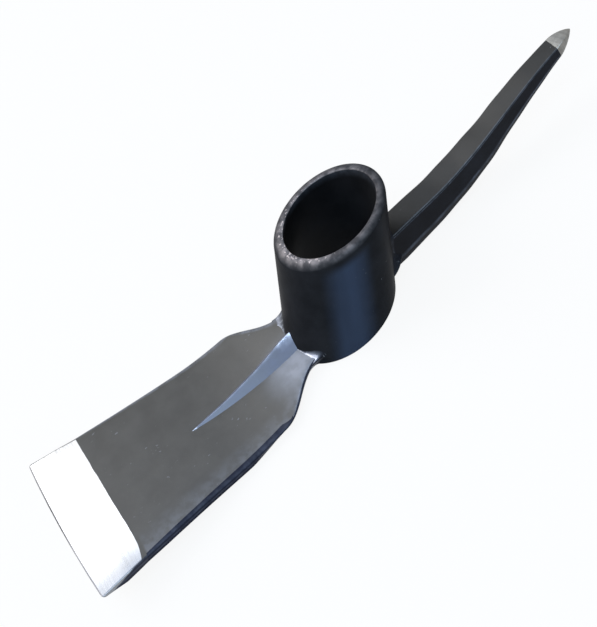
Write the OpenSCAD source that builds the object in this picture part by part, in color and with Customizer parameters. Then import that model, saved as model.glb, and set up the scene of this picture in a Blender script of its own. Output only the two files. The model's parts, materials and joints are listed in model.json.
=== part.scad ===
// Head of a hoe mattock: a slanted round eye for a wooden handle, with a ribbed
// hoe blade welded to one side of it and a rising pick welded to the other.
// X runs along the head, from the blade at -X to the pick at +X, and Z is up.
// The origin is the point where the axis of the bore meets the plane of the
// eye's foot, so the head lies on that foot at z = 0.

/* [Eye] */
// Diameter of the straight bore that takes the handle
bore_d = 41; // [34:0.5:48]
// Height between the two level end faces of the eye
eye_h = 50; // [40:1:65]
// Lean of the bore from upright, towards the pick, in degrees
eye_lean = 26; // [15:1:30]
// Wall of the eye at its mouth, the upper end
mouth_wall = 3.4; // [2:0.1:5]
// Wall of the eye at its foot, the lower end
foot_wall = 5.9; // [4:0.1:8]

/* [Blade] */
// Width across the corners of the cutting edge
edge_w = 90; // [76:1:110]
// Width across the shoulders
shoulder_w = 66; // [52:1:74]
// Width of the neck where it leaves the eye
neck_w = 33; // [26:1:38]
// Length of the neck, from the wall of the eye to the shoulders
neck_l = 23; // [18:1:35]
// Length from the shoulders to the corners of the cutting edge
blade_l = 105; // [80:1:140]
// Thickness of the neck where it leaves the eye
neck_root_t = 6; // [5:0.1:8]
// Thickness of the neck at the shoulders
neck_t = 4.2; // [3.6:0.1:6]
// Thickness of the blade where the cutting bit begins
blade_t = 3.8; // [3:0.1:5]
// Angle at which the blade rises from the neck, in degrees
blade_angle = 8.4; // [3:0.1:12]
// Length of the bend between neck and blade
bend_l = 36; // [20:1:50]
// How far before the shoulders the bend begins
bend_lead = 4; // [1:0.5:8]
// Inset of the neck's underside from its upper outline, on each side
neck_draft = 3; // [1:0.1:4]
// Hollow of each long side of the blade, at half length
side_bow = 1.4; // [0.4:0.1:3]
// Bulge of the cutting edge, at half width
edge_bow = 1.4; // [0.4:0.1:4]

/* [Cutting bit] */
// Length of the bit that carries the cutting edge
bit_l = 25.5; // [18:0.5:40]
// Length of the bevel ground on the underside of the bit
bevel_l = 13; // [8:0.5:16]
// Thickness left at the cutting edge
edge_t = 0.8; // [0.5:0.1:1.5]
// Lean of the scarf joint between blade and bit, in degrees
scarf_angle = 30; // [10:1:40]

/* [Rib] */
// Length of the rib, from the wall of the eye
rib_l = 57; // [40:1:75]
// Width of the rib at the eye
rib_w = 11.6; // [8:0.1:16]
// Height of the rib above the neck at the eye
rib_h = 5.6; // [4:0.1:8]

/* [Pick] */
// Length of the pick, from the wall of the eye to the tip
pick_l = 119; // [90:1:150]
// Height of the underside of the pick above the foot, at the eye
pick_seat = 0.6; // [0.4:0.1:6]
// Width of the pick at the eye
pick_root_w = 14; // [11:0.1:17]
// Depth of the pick at the eye
pick_root_d = 18.2; // [14:0.1:22]
// Width of the pick where the point begins
pick_end_w = 8.8; // [6:0.1:10]
// Depth of the pick where the point begins
pick_end_d = 6; // [4:0.1:8]
// Rise of the pick's upper face, from the eye to the tip
pick_rise = 15; // [6:0.5:24]
// Chamfer of the pick's upper edges
crest_chamfer = 0.7; // [0.3:0.1:1.2]
// Height of the bevel along the pick's lower edges, at the eye
keel_h = 4.6; // [2:0.1:6]
// Depth of that bevel into each side, at the eye
keel_inset = 1; // [0.5:0.1:2]

/* [Point] */
// Length of the ground point
point_l = 10.5; // [7:0.5:16]
// Width of the blunt tip
tip_w = 2; // [1:0.1:3]
// Depth of the blunt tip
tip_d = 1.8; // [1:0.1:2.5]

/* [Welds] */
// Reach of the welds along the neck of the blade
blade_weld_leg = 6; // [4:0.5:9]
// Reach of the weld along the pick
pick_weld_leg = 4; // [2.5:0.1:6]
// Thickness of each weld at its toe
weld_toe = 0.3; // [0.2:0.05:0.6]

/* [Hidden] */
$fn = 96;
paint_color = [0.10, 0.10, 0.12];
weld_color = [0.30, 0.30, 0.32];
ground_color = [0.82, 0.83, 0.84];
// How far cutting shapes run past the faces that they cut
overrun = 4;

// Eye: the outside is a cone about the bore, wider at the foot
foot_r = bore_d / 2 + foot_wall;
mouth_r = bore_d / 2 + mouth_wall;
eye_axis_l = eye_h / cos(eye_lean);
eye_taper = (foot_r - mouth_r) / eye_axis_l;
eye_overrun = 2 * foot_r * tan(eye_lean);
function eye_r(along) = foot_r - eye_taper * along;

// Distance from the origin to the outside of the eye at height z, on each side
function wall_to_blade(z) =
    (foot_r - z * (sin(eye_lean) + eye_taper * cos(eye_lean))) / (cos(eye_lean) - eye_taper * sin(eye_lean));
function wall_to_pick(z) =
    (foot_r + z * (sin(eye_lean) - eye_taper * cos(eye_lean))) / (cos(eye_lean) + eye_taper * sin(eye_lean));

// Blade: places are distances from the origin towards the blade
neck_x = wall_to_blade(0);
function wall_at(y) = neck_x * sqrt(1 - pow(y / foot_r, 2));
flank_x = wall_at(neck_w / 2);
shoulder_x = neck_x + neck_l;
corner_x = shoulder_x + blade_l;
edge_x = corner_x + edge_bow;
bit_x = corner_x - bit_l;
bevel_x = edge_x - bevel_l;
bend_x = shoulder_x - bend_lead;
neck_steps = 12;
side_steps = 10;
edge_steps = 8;
bend_steps = 8;
// Steps of the side, past the shoulders, over which the neck's draft runs out
draft_steps = 2;
// Share of the thickness that the draft takes, and of it that is left where it runs out
draft_share = 0.75;
draft_end_share = 0.05;

function mix(a, b, share) = a + (b - a) * share;
function clamp_share(share) = min(1, max(0, share));
// Smooth step from 0 to 1, level at both ends
function ease(share) = (1 - cos(180 * clamp_share(share))) / 2;
function neck_half_w(x) = mix(neck_w, shoulder_w, ease((x - flank_x) / (shoulder_x - flank_x))) / 2;
function side_half_w(x) =
    let (share = (x - shoulder_x) / blade_l)
    mix(shoulder_w, edge_w, share) / 2 - 4 * side_bow * share * (1 - share);
neck_places = [for (i = [0 : neck_steps]) mix(flank_x, shoulder_x, i / neck_steps)];
side_places = [for (i = [1 : side_steps]) mix(shoulder_x, corner_x, i / side_steps)];
// Height that the bend lifts the blade by: level, then a parabola, then a slope
function lift(x) =
    x < bend_x ? 0 :
    x < bend_x + bend_l ? tan(blade_angle) * pow(x - bend_x, 2) / (2 * bend_l) :
    tan(blade_angle) * (x - bend_x - bend_l / 2);
function blade_top(x) = neck_thickness(x) + lift(x);
function neck_thickness(x) = mix(neck_root_t, neck_t, clamp_share((x - flank_x) / (bend_x - flank_x)));
function thickness(x) =
    x < bend_x ? neck_thickness(x) :
    mix(neck_t, blade_t, clamp_share((x - bend_x) / (bit_x - bend_x)));

// Rib: a ridge with a sharp crest that runs out to nothing on the blade
rib_steps = 10;
rib_end_share = 0.98;
rib_root_x = neck_x / 2;

// Pick: places are distances from the origin towards the pick
pick_top = pick_seat + pick_root_d;
pick_x = wall_to_pick(pick_top);
tip_x = pick_x + pick_l;
point_x = tip_x - point_l;
pick_in_x = pick_x / 2;
pick_steps = 16;
// Share of the pick's length, from the eye, over which its upper face is level
level_share = 0.22;
// Share of the tip's depth that its four chamfers take
tip_chamfer_share = 0.25;
function pick_share(x) = max(0, (x - pick_x) / (point_x - pick_x));
function crest_z(x) = pick_top + pick_rise * ramp((x - pick_x) / pick_l);
function ramp(share) = let (s = clamp_share((share - level_share) / (1 - level_share))) s * s * (3 - 2 * s);

// Welds: a hollow fillet that is tangent to the two faces it joins
blade_weld_r = blade_weld_leg / tan((90 - eye_lean) / 2);
blade_weld_in = blade_weld_leg * sin(eye_lean);
// Share of the fillet's height by which the weld widens the neck
flank_share = 0.3;
weld_steps = 6;
// Share of its reach to which the pick's weld climbs the eye
pick_climb_share = 0.8;

// One solid through a row of rings that have the same number of points each.
// Every ring runs anticlockwise as seen along the row from its start.
module loft(rings) {
    count = len(rings[0]);
    last = len(rings) - 1;
    sides = [
        for (i = [0 : last - 1], j = [0 : count - 1]) each [
            [i * count + j, i * count + (j + 1) % count, (i + 1) * count + j],
            [i * count + (j + 1) % count, (i + 1) * count + (j + 1) % count, (i + 1) * count + j]
        ]
    ];
    start = [for (j = [1 : count - 2]) [0, j + 1, j]];
    end = [for (j = [1 : count - 2]) [last * count, last * count + j, last * count + j + 1]];
    polyhedron([for (ring = rings) each ring], concat(start, end, sides));
}

// Eye
module eye_cone() {
    rotate([0, eye_lean, 0])
        translate([0, 0, -eye_overrun])
            cylinder(
                h = eye_axis_l + 2 * eye_overrun,
                r1 = eye_r(-eye_overrun),
                r2 = eye_r(eye_axis_l + eye_overrun)
            );
}

module eye_bore() {
    rotate([0, eye_lean, 0])
        translate([0, 0, -eye_overrun])
            cylinder(h = eye_axis_l + 2 * eye_overrun, d = bore_d);
}

module eye_socket() {
    slab_l = 4 * (foot_r + eye_h);
    color(paint_color)
        difference() {
            intersection() {
                eye_cone();
                translate([-slab_l / 2, -slab_l / 2, 0])
                    cube([slab_l, slab_l, eye_h]);
            }
            eye_bore();
        }
}

// Blade
module blade_plan() {
    neck = [for (x = neck_places) [-x, neck_half_w(x)]];
    side = [for (x = side_places) [-x, side_half_w(x)]];
    edge = [
        for (i = [1 - edge_steps : edge_steps - 1])
            let (share = i / edge_steps) [-corner_x - edge_bow * (1 - share * share), -share * edge_w / 2]
    ];
    half = concat([[0, neck_w / 2]], neck, side);
    other_half = [for (i = [len(half) - 1 : -1 : 0]) [half[i][0], -half[i][1]]];
    polygon(concat(half, edge, other_half));
}

module blade_profile() {
    bend = [for (i = [0 : bend_steps]) bend_x + bend_l * i / bend_steps];
    stations = concat([0, flank_x], bend, [bit_x, bevel_x]);
    upper = [for (x = stations) [-x, blade_top(x)]];
    lower = [for (i = [len(stations) - 1 : -1 : 0])
        let (x = stations[i]) [-x, blade_top(x) - thickness(x)]];
    edge = [[-edge_x, blade_top(edge_x)], [-edge_x, blade_top(edge_x) - edge_t]];
    polygon(concat(upper, edge, lower));
}

// What the draft takes off one side of the neck, below a slanted plane
module draft_wedge() {
    function ring(x, inset, half) =
        let (low = blade_top(x) - thickness(x), rise = draft_share * thickness(x))
        [
            [-x, half - 2 * inset, low - rise],
            [-x, half + overrun, low - rise],
            [-x, half + overrun, low + rise],
            [-x, half, low + rise]
        ];
    loft(concat(
        [ring(flank_x - overrun, neck_draft, neck_half_w(flank_x))],
        [for (x = neck_places) ring(x, neck_draft, neck_half_w(x))],
        [
            for (i = [0 : draft_steps - 1])
                let (x = side_places[i], gone_share = (i + 1) / draft_steps)
                ring(x, neck_draft * mix(1, draft_end_share, gone_share), side_half_w(x))
        ]
    ));
}

// Blade and bit in one, running to the middle of the eye
module blade_blank() {
    difference() {
        intersection() {
            rotate([90, 0, 0])
                linear_extrude(height = edge_w + 2 * overrun, center = true)
                    blade_profile();
            translate([0, 0, -overrun])
                linear_extrude(height = blade_top(edge_x) + 2 * overrun)
                    blade_plan();
        }
        draft_wedge();
        mirror([0, 1, 0])
            draft_wedge();
    }
}

// The space beyond the scarf joint
module bit_space() {
    translate([-bit_x, 0, blade_top(bit_x)])
        rotate([0, scarf_angle, 0])
            translate([-blade_l, -edge_w, -blade_l])
                cube([blade_l, 2 * edge_w, 2 * blade_l]);
}

module hoe_blade() {
    color(paint_color)
        difference() {
            blade_blank();
            eye_cone();
            bit_space();
        }
}

module cutting_edge() {
    color(ground_color)
        intersection() {
            blade_blank();
            bit_space();
        }
}

// Rib
module rib_body() {
    function ring(x) =
        let (
            share = max(0, (x - neck_x) / rib_l),
            half = rib_w / 2 * sqrt(1 - share * share),
            top = blade_top(x),
            root = top - blade_t / 2,
            crest = top + rib_h * (1 - share)
        )
        [[-x, -half, root], [-x, half, root], [-x, half, top], [-x, 0, crest], [-x, -half, top]];
    loft(concat(
        [ring(rib_root_x)],
        [for (i = [0 : rib_steps]) ring(neck_x + rib_l * rib_end_share * i / rib_steps)]
    ));
}

module blade_rib() {
    color(paint_color)
        difference() {
            rib_body();
            blade_blank();
            eye_cone();
        }
}

// Fillet welds between the eye and the neck, one on each side of the rib
module blade_weld() {
    function swell(reach) =
        weld_toe + blade_weld_r - sqrt(pow(blade_weld_r, 2) - pow(blade_weld_leg - reach, 2));
    function ring(reach) =
        let (
            rise = swell(reach),
            flank = neck_half_w(flank_x + reach) + flank_share * rise,
            neck = neck_thickness(flank_x + reach),
            top = neck + rise
        )
        [
            [-wall_at(0) - reach, 0, neck_t / 2],
            [-wall_at(flank) - reach, flank - neck_draft, 0],
            [-wall_at(flank) - reach, flank, draft_share * neck],
            [-wall_at(flank) - reach, flank, top],
            [-wall_at(flank / 2) - reach, flank / 2, top],
            [-wall_at(0) - reach, 0, top]
        ];
    color(weld_color)
        difference() {
            loft([for (i = [0 : weld_steps]) ring(mix(-blade_weld_in, blade_weld_leg, i / weld_steps))]);
            blade_blank();
            eye_cone();
            rib_body();
        }
}

module blade_weld_left() {
    blade_weld();
}

module blade_weld_right() {
    mirror([0, 1, 0])
        blade_weld();
}

// Pick: eight-sided rings, with small chamfers above and steep bevels below
function pick_ring(x, top, low, width, crest_cut, keel_cut, keel_rise) =
    let (half = width / 2)
    [
        [x, -half + crest_cut, top], [x, half - crest_cut, top],
        [x, half, top - crest_cut], [x, half, low + keel_rise],
        [x, half - keel_cut, low], [x, -half + keel_cut, low],
        [x, -half, low + keel_rise], [x, -half, top - crest_cut]
    ];
function arm_ring(x) =
    let (
        share = pick_share(x),
        width = mix(pick_root_w, pick_end_w, share),
        depth = mix(pick_root_d, pick_end_d, share)
    )
    pick_ring(
        x, crest_z(x), crest_z(x) - depth, width, crest_chamfer * width / pick_root_w,
        keel_inset * width / pick_root_w, keel_h * depth / pick_root_d
    );

module pick_body() {
    loft(concat(
        [arm_ring(pick_in_x)],
        [for (i = [0 : pick_steps]) arm_ring(mix(pick_x, point_x, i / pick_steps))]
    ));
}

module pick_arm() {
    color(paint_color)
        difference() {
            pick_body();
            eye_cone();
        }
}

module pick_point() {
    tip_cut = tip_chamfer_share * tip_d;
    color(ground_color)
        loft([
            arm_ring(point_x),
            pick_ring(tip_x, crest_z(tip_x), crest_z(tip_x) - tip_d, tip_w, tip_cut, tip_cut, tip_cut)
        ]);
}

// Fillet weld over the top and sides of the pick's root, which follows the wall of the eye
module pick_weld() {
    function swell(reach) =
        weld_toe + pick_climb_share * pick_weld_leg * pow(1 - clamp_share(reach / pick_weld_leg), 2);
    function on_wall(point, reach) =
        [wall_to_pick(point[2]) * sqrt(1 - pow(point[1] / foot_r, 2)) + reach, point[1], point[2]];
    function ring(reach) =
        let (
            rise = swell(reach),
            width = mix(pick_root_w, pick_end_w, pick_share(pick_x + reach)) + 2 * rise,
            flat = pick_ring(pick_x, pick_top + rise, pick_seat + keel_h, width, rise, weld_toe, weld_toe)
        )
        [for (point = flat) on_wall(point, reach)];
    color(weld_color)
        difference() {
            loft([for (i = [0 : weld_steps]) ring(mix(-mouth_wall / 2, pick_weld_leg, i / weld_steps))]);
            pick_body();
            eye_cone();
        }
}

eye_socket();
hoe_blade();
blade_rib();
cutting_edge();
blade_weld_left();
blade_weld_right();
pick_arm();
pick_point();
pick_weld();
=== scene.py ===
import json
import math

import bpy
import numpy as np
from mathutils import Matrix, Vector


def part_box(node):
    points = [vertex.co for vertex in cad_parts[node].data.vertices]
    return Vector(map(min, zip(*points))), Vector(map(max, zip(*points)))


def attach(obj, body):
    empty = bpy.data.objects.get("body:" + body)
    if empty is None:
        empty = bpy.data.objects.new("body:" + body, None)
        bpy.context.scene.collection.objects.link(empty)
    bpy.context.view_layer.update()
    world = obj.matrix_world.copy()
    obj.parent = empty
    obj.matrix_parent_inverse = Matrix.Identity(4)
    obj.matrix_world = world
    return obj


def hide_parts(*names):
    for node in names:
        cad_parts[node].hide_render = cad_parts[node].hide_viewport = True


# Looks of the mattock head: rounded forged surfaces, worn black paint, bright ground steel and a plain stage.
# The file is laid out as an add-on and run as a script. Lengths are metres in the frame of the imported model:
# +X runs along the head to the pick, -X to the hoe blade, and Z is up from the foot of the eye.
bl_info = {
    "name": "Mattock head",
    "version": (1, 0, 0),
    "blender": (4, 5, 0),
    "location": "View3D > Sidebar > Mattock",
    "description": "Builds the rounded, painted pieces of a mattock head around its packed solids",
    "category": "Object",
}

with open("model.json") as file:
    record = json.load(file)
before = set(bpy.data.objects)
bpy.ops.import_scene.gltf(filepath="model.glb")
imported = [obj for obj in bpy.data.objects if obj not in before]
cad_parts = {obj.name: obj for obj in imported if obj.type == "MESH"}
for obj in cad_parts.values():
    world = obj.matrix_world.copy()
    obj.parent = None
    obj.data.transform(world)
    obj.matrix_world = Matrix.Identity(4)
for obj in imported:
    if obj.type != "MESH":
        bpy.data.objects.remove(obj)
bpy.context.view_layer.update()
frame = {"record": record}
MM = 0.001
PHOTO_LONG_SIDE = 627
SENSOR_WIDTH = 36.0

# Points in each soft corner of a section, and between one corner and the next
BEND_STEPS = 7
SIDE_STEPS = 7
SECTION_STEPS = BEND_STEPS + SIDE_STEPS

# Corners of the sections across the blade and the pick
BLADE_CORNERS = 6
PICK_CORNERS = 8

# Most of a side that the rounding of one corner may take
MOST_OF_SIDE = 0.45

# Angle between faces past which their edge is shaded sharp
SHARP_ANGLE = math.radians(35)

# Main places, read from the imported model
HANDLE_EYE = next(mount for mount in frame["record"]["mounts"] if mount["name"] == "handle_eye")
EYE_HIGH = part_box("eye_socket")[1]
BLADE_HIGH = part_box("hoe_blade")[1]
BIT_LOW, BIT_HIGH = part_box("cutting_edge")
ARM_LOW, ARM_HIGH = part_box("pick_arm")
POINT_LOW, POINT_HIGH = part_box("pick_point")


def setting_kind(make, **limits):
    """A maker of settings of one kind, each with a label, a description and a first value."""

    def setting(name, description, default):
        return make(name=name, description=description, default=default, **limits)

    return setting


# Kinds of settings: sizes in metres, numbers from 0 to 1, plain numbers from 0 up, watts, angles in radians,
# linear colours, points in metres and directions of any length
length = setting_kind(bpy.props.FloatProperty, min=0, precision=5, unit="LENGTH")
share = setting_kind(bpy.props.FloatProperty, min=0, max=1, subtype="FACTOR")
amount = setting_kind(bpy.props.FloatProperty, min=0)
power = setting_kind(bpy.props.FloatProperty, min=0, unit="POWER")
turn = setting_kind(bpy.props.FloatProperty, subtype="ANGLE")
colour = setting_kind(bpy.props.FloatVectorProperty, size=4, min=0, max=1, subtype="COLOR")
place = setting_kind(bpy.props.FloatVectorProperty, size=3, precision=5, subtype="TRANSLATION")
direction = setting_kind(bpy.props.FloatVectorProperty, size=3, precision=6, subtype="XYZ")


class EyeSizes(bpy.types.PropertyGroup):
    """Sizes of the slanted tube that takes the handle."""

    bore_radius: length("Bore radius", "Radius of the straight bore", HANDLE_EYE["dims"]["r_mm"] * MM)
    foot_radius: length("Foot radius", "Outer radius at the foot", EYE_HIGH.y)
    mouth_wall: length("Mouth wall", "Wall at the mouth, the upper end", 4.2 * MM)
    mouth_swell: length("Mouth swell", "Extra radius of the mouth on the pick's side", 1.3 * MM)
    bore_flare: length("Bore flare", "Extra radius of the bore at the mouth on the pick's side", 1.0 * MM)
    height: length("Height", "Height between the two level ends", EYE_HIGH.z)
    lean: turn("Lean", "Lean of the bore towards the pick", math.asin(-HANDLE_EYE["axis"][0]))
    # Turn of the painted highlight, the blue sheen, on the flanks of the eye
    painted_sheen_turn: turn("Sheen turn", "Turn of the sheen from the flanks towards the blade", math.radians(13))
    rim_round: length("Rim rounding", "Rounding of the outer edge of the mouth", 2.6 * MM)
    bore_round: length("Bore rounding", "Rounding of the bore's edges", 0.4 * MM)
    foot_round: length("Foot rounding", "Rounding of the outer edge of the foot", 0.9 * MM)


class BladeSizes(bpy.types.PropertyGroup):
    """Sizes of the hoe blade with its ground bit."""

    flank: length("Flank", "Distance from the origin to the sides of the neck's root", -BLADE_HIGH.x)
    edge: length("Edge", "Distance from the origin to the middle of the cutting edge", -BIT_LOW.x)
    bit: length("Bit", "Distance from the origin to the line where the ground bit begins", -BIT_HIGH.x)
    edge_width: length("Edge width", "Width across the corners of the cutting edge", 2 * BIT_HIGH.y)
    shoulder_width: length("Shoulder width", "Width across the shoulders", 67 * MM)
    neck_width: length("Neck width", "Width of the neck where it leaves the eye", 34.2 * MM)
    shoulder: length("Shoulder length", "Length from the shoulders to the corners of the edge", 105 * MM)
    root_thickness: length("Root thickness", "Thickness of the neck at the eye", 6 * MM)
    neck_thickness: length("Neck thickness", "Thickness of the neck where the bend begins", 4.2 * MM)
    thickness: length("Thickness", "Thickness of the blade where the bit begins", 4.6 * MM)
    edge_thickness: length("Edge thickness", "Thickness left at the cutting edge", 0.8 * MM)
    rise: turn("Rise", "Angle at which the blade rises from the neck", math.radians(8.4))
    bend: length("Bend", "Length of the bend between neck and blade", 36 * MM)
    bend_lead: length("Bend lead", "How far before the shoulders the bend begins", 4 * MM)
    bevel: length("Bevel", "Length of the bevel under the cutting edge", 13 * MM)
    scarf: length("Scarf", "How far the joint of the bit leans over the thickness", 2.2 * MM)
    scarf_fade: length("Scarf fade", "Length over which the rows of the mesh follow that lean", 12 * MM)
    side_bow: length("Side bow", "Hollow of each long side, at half length", 1.1 * MM)
    edge_bow: length("Edge bow", "Bulge of the cutting edge, at half width", 1.4 * MM)
    crown: length("Crown", "Fall of the upper face towards its sides", 0.4 * MM)
    # Painted reflection: a bluish haze and bright steel are laid round this place on the neck
    sheen_place: place("Rubbed place", "Middle of the rubbed neck", (-31 * MM, -11 * MM, 5 * MM))
    sheen_radius: length("Rubbed radius", "Radius of that place", 13 * MM)
    draft: length("Draft", "Inset of the neck's underside on each side", 3 * MM)
    draft_run: length("Draft run", "Length past the shoulders over which the draft runs out", 21 * MM)
    draft_share: share("Draft share", "Share of the thickness that the draft takes", 0.75)
    ledge_share: share("Ledge share", "The same share where there is no draft", 0.55)
    top_round: length("Top rounding", "Width of the soft upper edges, up to the shoulders", 3 * MM)
    crease_lead: length("Crease lead", "How far before the shoulders the upper edges are sharpest", 6 * MM)
    end_round: length("End rounding", "Width of the soft upper edges where the bit begins", 1.5 * MM)
    bit_round: length("Bit rounding", "Width of the upper edges of the bit", 0.8 * MM)
    low_round: length("Lower rounding", "Width of the soft lower edges", 0.8 * MM)
    corner_round: length("Corner rounding", "Rounding of the corners of the edge", 1.6 * MM)
    # Painted shade: the dull grey line along the cutting edge stands for its shaded thickness
    edge_shade_width: length("Burr", "Width of the dull line along the cutting edge", 0.9 * MM)
    tuck: length("Tuck", "Depth to which the neck runs into the wall of the eye", 2.4 * MM)


class RibSizes(bpy.types.PropertyGroup):
    """Sizes of the ridge that stiffens the blade."""

    length: length("Length", "Length of the rib, from the wall of the eye", 57 * MM)
    width: length("Width", "Width at the eye", 11.6 * MM)
    height: length("Height", "Height above the neck at the eye", 5.6 * MM)
    flare: share("Flare", "Power by which the width follows the length that is left", 0.8)
    crest_round: share("Crest rounding", "Rounding of the crest, in half widths", 0.05)
    sink: length("Sink", "Depth to which the rib runs into the blade", 1.2 * MM)
    tuck: length("Tuck", "Depth to which the rib runs into the wall of the eye", 2 * MM)


class PickSizes(bpy.types.PropertyGroup):
    """Sizes of the tapered pick and its ground point."""

    tip: length("Tip", "Distance from the origin to the tip", POINT_HIGH.x)
    point: length("Point", "Distance from the origin to the start of the ground point", POINT_LOW.x)
    length: length("Length", "Length from the wall of the eye to the tip", 119 * MM)
    seat: length("Seat", "Height of the underside above the foot, at the eye", 0.6 * MM)
    root_width: length("Root width", "Width at the eye", ARM_HIGH.y - ARM_LOW.y)
    root_depth: length("Root depth", "Depth at the eye", 18.2 * MM)
    end_width: length("End width", "Width where the point begins", POINT_HIGH.y - POINT_LOW.y)
    end_depth: length("End depth", "Depth where the point begins", 6 * MM)
    rise: length("Rise", "Rise of the upper face from the eye to the tip", 15 * MM)
    level: share("Level share", "Share of the length over which the upper face is level", 0.22)
    crest_cut: share("Crest chamfer", "Chamfer of the upper edges, in half widths", 0.09)
    crest_drop: share("Crest drop", "Height of that chamfer, as a share of the depth", 0.045)
    keel_cut: share("Keel inset", "Inset of the lower edges, in half widths", 0.143)
    keel_rise: share("Keel rise", "Height of that bevel, as a share of the depth", 0.253)
    belly: length("Belly", "Swelling of each side at half length", 0.5 * MM)
    hammered: length("Hammered", "Height of the hammer's waves along the sides", 0.13 * MM)
    tuck: length("Tuck", "Depth to which the pick runs into the wall of the eye", 2.5 * MM)


class WeldSizes(bpy.types.PropertyGroup):
    """Sizes of the fillet welds."""

    neck_leg: length("Neck leg", "Reach of the welds along the neck", 7 * MM)
    eye_leg: length("Eye leg", "Reach of the welds along the eye", 3.5 * MM)
    left_corner: amount("Left corner", "Climb of the left weld at the neck's corner, in eye legs", 2.6)
    right_corner: amount("Right corner", "The same climb of the right weld", 1.0)
    left_rub: amount("Left rub", "Wear of the left weld's toe on top of the neck", 1.0)
    # Painted highlight: the right toe's wear is raised into a bright line
    right_rub: amount("Right rub", "Wear of the right weld's toe on top of the neck", 2.8)
    left_top: share("Left top", "Reach of the left weld on top of the neck, in neck legs", 1.0)
    right_top: share("Right top", "The same reach of the right weld", 0.55)
    foot_share: share("Share at the foot", "Reach at the foot, as a share of the full reach", 0.85)
    rib_share: share("Share at the rib", "Reach beside the rib, as a share of the full reach", 0.2)
    pick_leg: length("Pick leg", "Reach of the weld along the pick and the eye", 3.6 * MM)
    ripple: share("Ripple", "How much the reach swells and shrinks along a weld", 0.06)
    sink: length("Sink", "Depth to which a weld runs into the pieces that it joins", 0.9 * MM)
    toe_sink: length("Toe sink", "Depth of a weld's toes under the surface", 0.2 * MM)


class Finishes(bpy.types.PropertyGroup):
    """Colours of the paint and the steel."""

    eye_paint: colour("Eye paint", "Black paint of the eye", (0.017, 0.017, 0.019, 1))
    bore_paint: colour("Bore paint", "Deep black of the bore", (0.007, 0.007, 0.008, 1))
    black_paint: colour("Black paint", "Fresh black paint of the sides", (0.012, 0.012, 0.015, 1))
    # Also laid as painted shade on the outer half of the blade's right upper rounding
    navy_paint: colour("Navy paint", "Blue black paint of the blade's sides", (0.010, 0.012, 0.026, 1))
    # Painted highlight: the blue sheen laid on the flanks of the eye
    painted_blue_sheen: colour("Blue sheen", "Blue streaks in the black paint", (0.046, 0.061, 0.098, 1))
    blade_paint: colour("Blade paint", "Dulled paint on top of the blade", (0.035, 0.033, 0.030, 1))
    # Painted reflection: the rib's paint is lighter and bluer than the blade's, for the blue sky that its
    # faces reflect
    rib_paint: colour("Rib paint", "Paint of the rib, with a blue cast", (0.078, 0.090, 0.150, 1))
    pick_paint: colour("Pick paint", "Dulled paint on top of the pick", (0.011, 0.011, 0.011, 1))
    # Laid on the left weld only: lighter than the right one, partly painted light where the left weld catches
    # it
    weld_paint: colour("Weld paint", "Thin paint over the welds", (0.030, 0.030, 0.033, 1))
    # Also the colour of the painted reflection on the blade's neck
    rubbed: colour("Rubbed steel", "Steel that shows where the paint is rubbed off", (0.40, 0.425, 0.51, 1))
    rubbed_rim: colour("Rubbed rim", "Steel that shows on the rim of the eye", (0.33, 0.30, 0.305, 1))
    # Also the grey of the painted shade along the bit's edges
    scuff: colour("Scuffs", "Pale scuffs and dust on the paint", (0.16, 0.16, 0.17, 1))
    edge_steel: colour("Edge steel", "Bright ground steel of the bit", (0.74, 0.75, 0.76, 1))
    # Painted shade towards the right corner of the bit, and the colour of bare steel on the bit's sides
    dull_steel_and_corner_shade: colour("Oil film", "Cool film towards the right corner of the bit", (0.27, 0.28, 0.30, 1))
    point_steel: colour("Point steel", "Dull ground steel of the point", (0.26, 0.255, 0.24, 1))


class StageSettings(bpy.types.PropertyGroup):
    """Camera, lamps and floor."""

    camera_place: place("Camera", "Place of the camera", (0.010161, -0.431643, 0.483716))
    camera_look: direction("Look", "Direction in which the camera looks", (-0.039147, 0.678102, -0.733924))
    camera_up: direction("Up", "Upward direction of the picture", (0.678569, 0.557195, 0.478621))
    focal: amount("Focal length", "Focal length in pixels of the photograph", 1427.26)
    floor: colour("Floor", "Colour of the floor", (0.90, 0.90, 0.90, 1))
    floor_radius: length("Floor radius", "Radius of the floor", 4)
    floor_glow: share("Floor glow", "Share of plain white in the floor, beside its lit colour", 0.9)
    sky: amount("Sky", "Strength of the white light from all round", 0.10)
    lamp_distance: length("Lamp distance", "Distance of the lamps from the origin", 2.7)
    back_power: power("Back lamp", "Power of the soft lamp behind the head", 50)
    back_size: length("Back size", "Width of that lamp", 2.3)
    back_towards: direction("Back direction", "Direction of that lamp from the head", (-0.52, 0.57, 0.64))
    back_colour: colour("Back colour", "Colour of that lamp", (1.0, 0.97, 0.93, 1))
    top_power: power("Top lamp", "Power of the soft lamp above the head", 18)
    top_size: length("Top size", "Width of that lamp", 1.7)
    top_towards: direction("Top direction", "Direction of that lamp from the head", (-0.05, 0.28, 0.96))
    top_colour: colour("Top colour", "Cool colour of that lamp", (0.62, 0.76, 1.0, 1))
    front_power: power("Front lamp", "Power of the soft lamp in front of the head", 54)
    front_size: length("Front size", "Width of that lamp", 2.2)
    front_towards: direction("Front direction", "Direction of that lamp from the head", (-0.10, -0.50, 0.86))
    front_colour: colour("Front colour", "Cool colour of that lamp", (0.55, 0.78, 1.0, 1))


class MattockSettings(bpy.types.PropertyGroup):
    """All settings of the mattock head."""

    eye: bpy.props.PointerProperty(type=EyeSizes)
    blade: bpy.props.PointerProperty(type=BladeSizes)
    rib: bpy.props.PointerProperty(type=RibSizes)
    pick: bpy.props.PointerProperty(type=PickSizes)
    weld: bpy.props.PointerProperty(type=WeldSizes)
    finish: bpy.props.PointerProperty(type=Finishes)
    stage: bpy.props.PointerProperty(type=StageSettings)


# Small formulas
def mix(start, end, part):
    """Straight blend from start to end."""
    return start + (end - start) * part


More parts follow.
